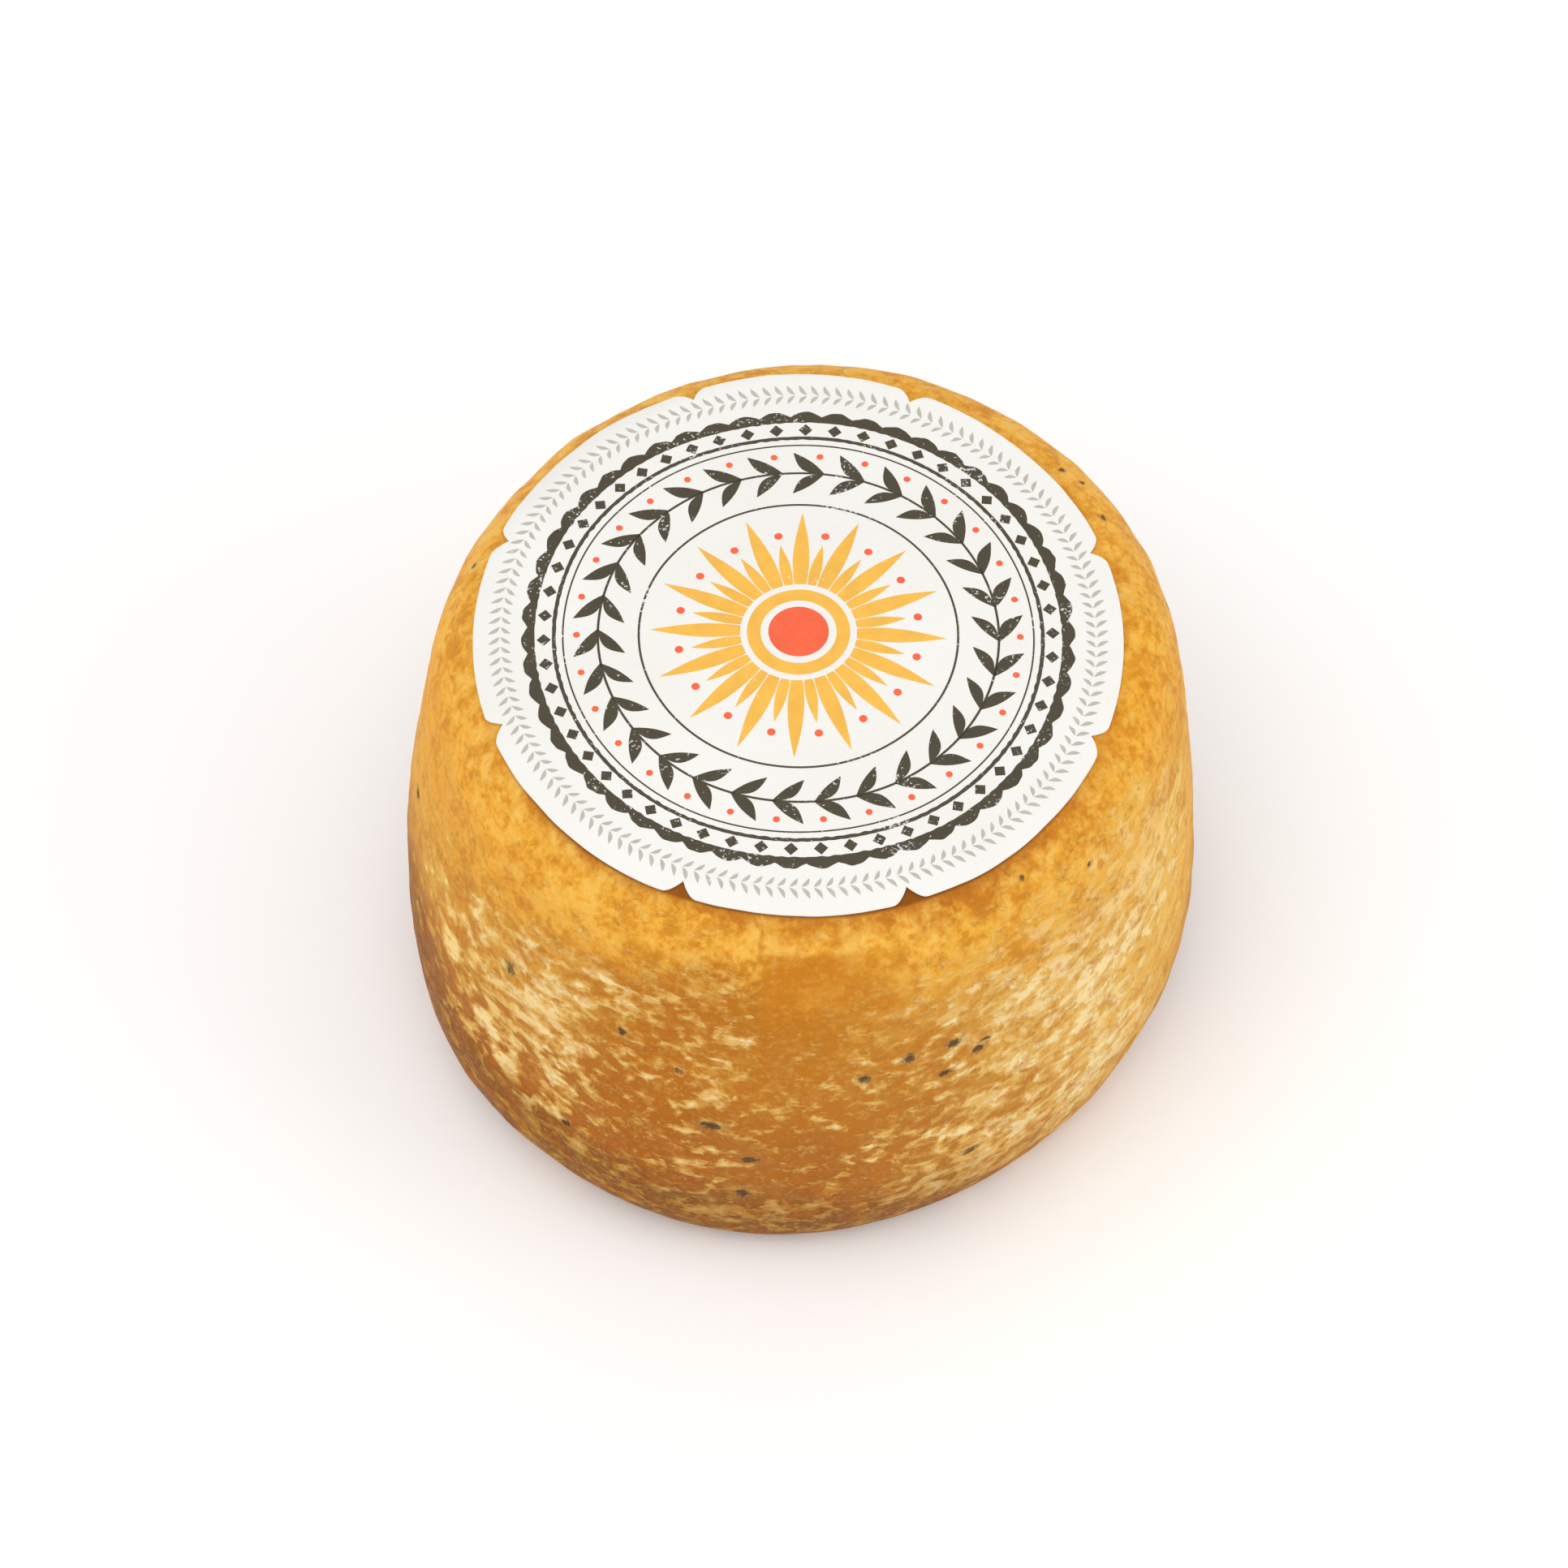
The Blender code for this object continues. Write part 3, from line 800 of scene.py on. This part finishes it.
BRAID_GRAINS, BRAID_INNER, BRAID_MIDDLE, BRAID_OUTER = 156, 0.0514, 0.0534, 0.0554
SCALLOPS, SCALLOP_ROOT, SCALLOP_REACH = 54, 0.0484, 0.0011
LOZENGES, LOZENGE_INNER, LOZENGE_OUTER, LOZENGE_HALF_WIDTH = 54, 0.0442, 0.0467, 0.00125
BAND_INNER, LINE_INNER, LINE_OUTER = 0.0471, 0.0433, 0.0440
LEAVES, WREATH_RADIUS, LEAF_REACH, STEM_HALF_WIDTH = 30, 0.0358, 0.0046, 0.00022
RAYS, RAY_START, LONG_RAY_END, SHORT_RAY_END = 16, 0.0104, 0.0264, 0.0194
CUT_WAVES, CUT_DEPTH = 9, 0.00002

braid = spaced(BRAID_GRAINS)
lean = math.radians(1.5)
grey_parts = [
    strokes(plan(BRAID_MIDDLE - 0.0001, braid), plan(BRAID_OUTER, braid + lean), 0.00036, 0.0002),
    strokes(plan(BRAID_MIDDLE - 0.0003, braid), plan(BRAID_INNER, braid + lean), 0.00034, -0.0002),
]

outer_cut, inner_cut = hand_cut(3, CUT_WAVES, CUT_DEPTH), hand_cut(4, CUT_WAVES, CUT_DEPTH)


def scalloped_edge(angle):
    """The band's outer edge: half a sine for each scallop, and the hand's unevenness."""
    return SCALLOP_ROOT + SCALLOP_REACH * np.abs(np.sin(SCALLOPS * angle / 2.0)) + outer_cut(angle)


lozenges = spaced(LOZENGES, 0.5)
leaf_turn = spaced(LEAVES)
dark_parts = [
    ring_band(lambda angle: BAND_INNER + inner_cut(angle), scalloped_edge, 2160),
    strokes(plan(LOZENGE_INNER, lozenges), plan(LOZENGE_OUTER, lozenges), LOZENGE_HALF_WIDTH, stations=3),
    ring_band(lambda angle: LINE_INNER - inner_cut(angle), lambda angle: LINE_OUTER + outer_cut(angle) * 0.5),
    ring_band(0.0419, 0.0422),
    ring_band(0.0283, 0.0287),
    ring_band(WREATH_RADIUS - STEM_HALF_WIDTH, WREATH_RADIUS + STEM_HALF_WIDTH),
    strokes(
        plan(WREATH_RADIUS, leaf_turn),
        plan(WREATH_RADIUS + LEAF_REACH, leaf_turn + 0.155),
        0.00115, bow=0.0006, stations=17,
    ),
    strokes(
        plan(WREATH_RADIUS, leaf_turn + 0.004),
        plan(WREATH_RADIUS - LEAF_REACH, leaf_turn + 0.165),
        0.00105, bow=-0.0006, stations=17,
    ),
]

long_rays, short_rays = spaced(RAYS), spaced(RAYS, 0.5)
amber_parts = [
    strokes(plan(RAY_START, turn), plan(end, turn), half_width, stations=21, blunt=0.25)
    for turn, end, half_width in ((long_rays, LONG_RAY_END, 0.00145), (short_rays, SHORT_RAY_END, 0.00100))
]
amber_parts.append(ring_band(0.0068, 0.0092, 240, 2))
coral_parts = [
    dots(np.zeros((1, 2)), 0.0054, 49),
    dots(plan(0.0216, short_rays), 0.00075),
    dots(plan(WREATH_RADIUS + 0.0038, leaf_turn + 0.035), 0.00062),
]


def ink_finish(name, colour, worn):
    """Flat ink, a little uneven, with flecks where the paper shows through as far as it is worn."""
    material, shader, place = start_material(name, Specular_IOR_Level=0.3)
    fibre = place.noise(0.0006, 3.0, 0.6)
    patch = place.noise(0.011, 2.0, 0.5)
    fleck = (fibre + (patch - 0.5) * 0.5).step(0.74 - worn, 0.80 - worn)
    shade = tuple(0.82 * part for part in colour[:3]) + (1.0,)
    body = (place.noise(0.004, 3.0, 0.6).step(0.35, 0.70) * 0.5).blend(colour, shade)
    colour = (fleck * 0.8).blend(body, PAPER)
    return finish_material(material, shader, colour, 0.55 + fibre * 0.1, fibre, 0.1, 0.00004)


for name, parts, colour, worn in (
    ("print_grey", grey_parts, GREY, 0.04),
    ("print_dark", dark_parts, DARK, 0.10),
    ("print_amber", amber_parts, AMBER, 0.02),
    ("print_coral", coral_parts, CORAL, 0.0),
):
    add_piece(name, joined(name, parts), ink_finish(name + "_ink", colour, worn))

# The stage: a pale floor the wheel stands on, which glows a little so that it stays as white as the
# photograph, a white room, and soft lamps above.
FLOOR_SIZE, FLOOR_DROP, FLOOR_GLOW, ROOM_LIGHT = 8.0, 0.0002, 0.09, 0.725

bpy.ops.mesh.primitive_plane_add(size=FLOOR_SIZE, location=(0.0, 0.0, -FLOOR_DROP))
floor = bpy.context.active_object
floor.name = "floor"
floor_material, floor_shader, _ = start_material("pale_floor", Specular_IOR_Level=0.2)
floor_shader.inputs["Base Color"].default_value = paint("FAFAFA")
floor_shader.inputs["Roughness"].default_value = 0.9
floor_shader.inputs["Emission Strength"].default_value = FLOOR_GLOW
floor.data.materials.append(floor_material)

world = bpy.data.worlds.new("white_room")
world.use_nodes = True
world.node_tree.nodes["Background"].inputs["Color"].default_value = (1.0, 1.0, 1.0, 1.0)
world.node_tree.nodes["Background"].inputs["Strength"].default_value = ROOM_LIGHT
bpy.context.scene.world = world
bpy.context.scene.view_settings.view_transform = "Standard"

OBJECT_MIDDLE = Vector((0.0, 0.0, 0.5 * HEIGHT))


def add_lamp(name, azimuth, elevation, distance, size, power):
    """A square area lamp that looks at the wheel's middle from an azimuth and an elevation in degrees."""
    turn, lift = math.radians(azimuth), math.radians(elevation)
    away = Vector((math.cos(turn) * math.cos(lift), math.sin(turn) * math.cos(lift), math.sin(lift)))
    lamp = bpy.data.objects.new(name, bpy.data.lights.new(name, "AREA"))
    lamp.data.size = size
    lamp.data.energy = power
    lamp.location = OBJECT_MIDDLE + away * distance
    lamp.rotation_euler = away.to_track_quat("Z", "Y").to_euler()
    bpy.context.scene.collection.objects.link(lamp)


add_lamp("soft_box_above", -120.0, 72.0, 1.4, 1.0, 5.2)
add_lamp("soft_box_right", -15.0, 30.0, 1.3, 0.8, 2.4)
add_lamp("soft_box_left", 190.0, 32.0, 1.4, 0.9, 1.6)

# The camera: a long lens in front of the wheel, looking down at the label, and turned a little. The
# label's middle is set to the place it has in the photograph.
VIEW_DISTANCE = 1.740
VIEW_ELEVATION = math.radians(55.5)
VIEW_ROLL = math.radians(2.0)
FRAME_WIDTH = 0.2801
PICTURE_SIDE = 1932
LABEL_PIXEL = (983.5, 791.5)
LABEL_HEIGHT = 0.0981
SENSOR = 36.0

label_centre = Vector((LABEL_OFFSET[0] - middle[0], LABEL_OFFSET[1] - middle[1], LABEL_HEIGHT))
sin_e, cos_e = math.sin(VIEW_ELEVATION), math.cos(VIEW_ELEVATION)
sin_r, cos_r = math.sin(VIEW_ROLL), math.cos(VIEW_ROLL)
level_right, level_up = Vector((1.0, 0.0, 0.0)), Vector((0.0, sin_e, cos_e))
back = Vector((0.0, -cos_e, sin_e))
view_right = cos_r * level_right + sin_r * level_up
view_up = cos_r * level_up - sin_r * level_right
pixel = FRAME_WIDTH / PICTURE_SIDE
aim = label_centre - view_right * pixel * (LABEL_PIXEL[0] - PICTURE_SIDE / 2)
aim = aim + view_up * pixel * (LABEL_PIXEL[1] - PICTURE_SIDE / 2)
eye = label_centre + back * VIEW_DISTANCE
look = (eye - aim).normalized()
side = view_up.cross(look).normalized()
camera = bpy.data.objects.new("camera", bpy.data.cameras.new("camera"))
camera.data.sensor_width = SENSOR
camera.data.lens = SENSOR * VIEW_DISTANCE / FRAME_WIDTH
turned = Matrix((side, look.cross(side), look)).transposed()
camera.matrix_world = Matrix.Translation(eye) @ turned.to_4x4()
bpy.context.scene.collection.objects.link(camera)
bpy.context.scene.camera = camera
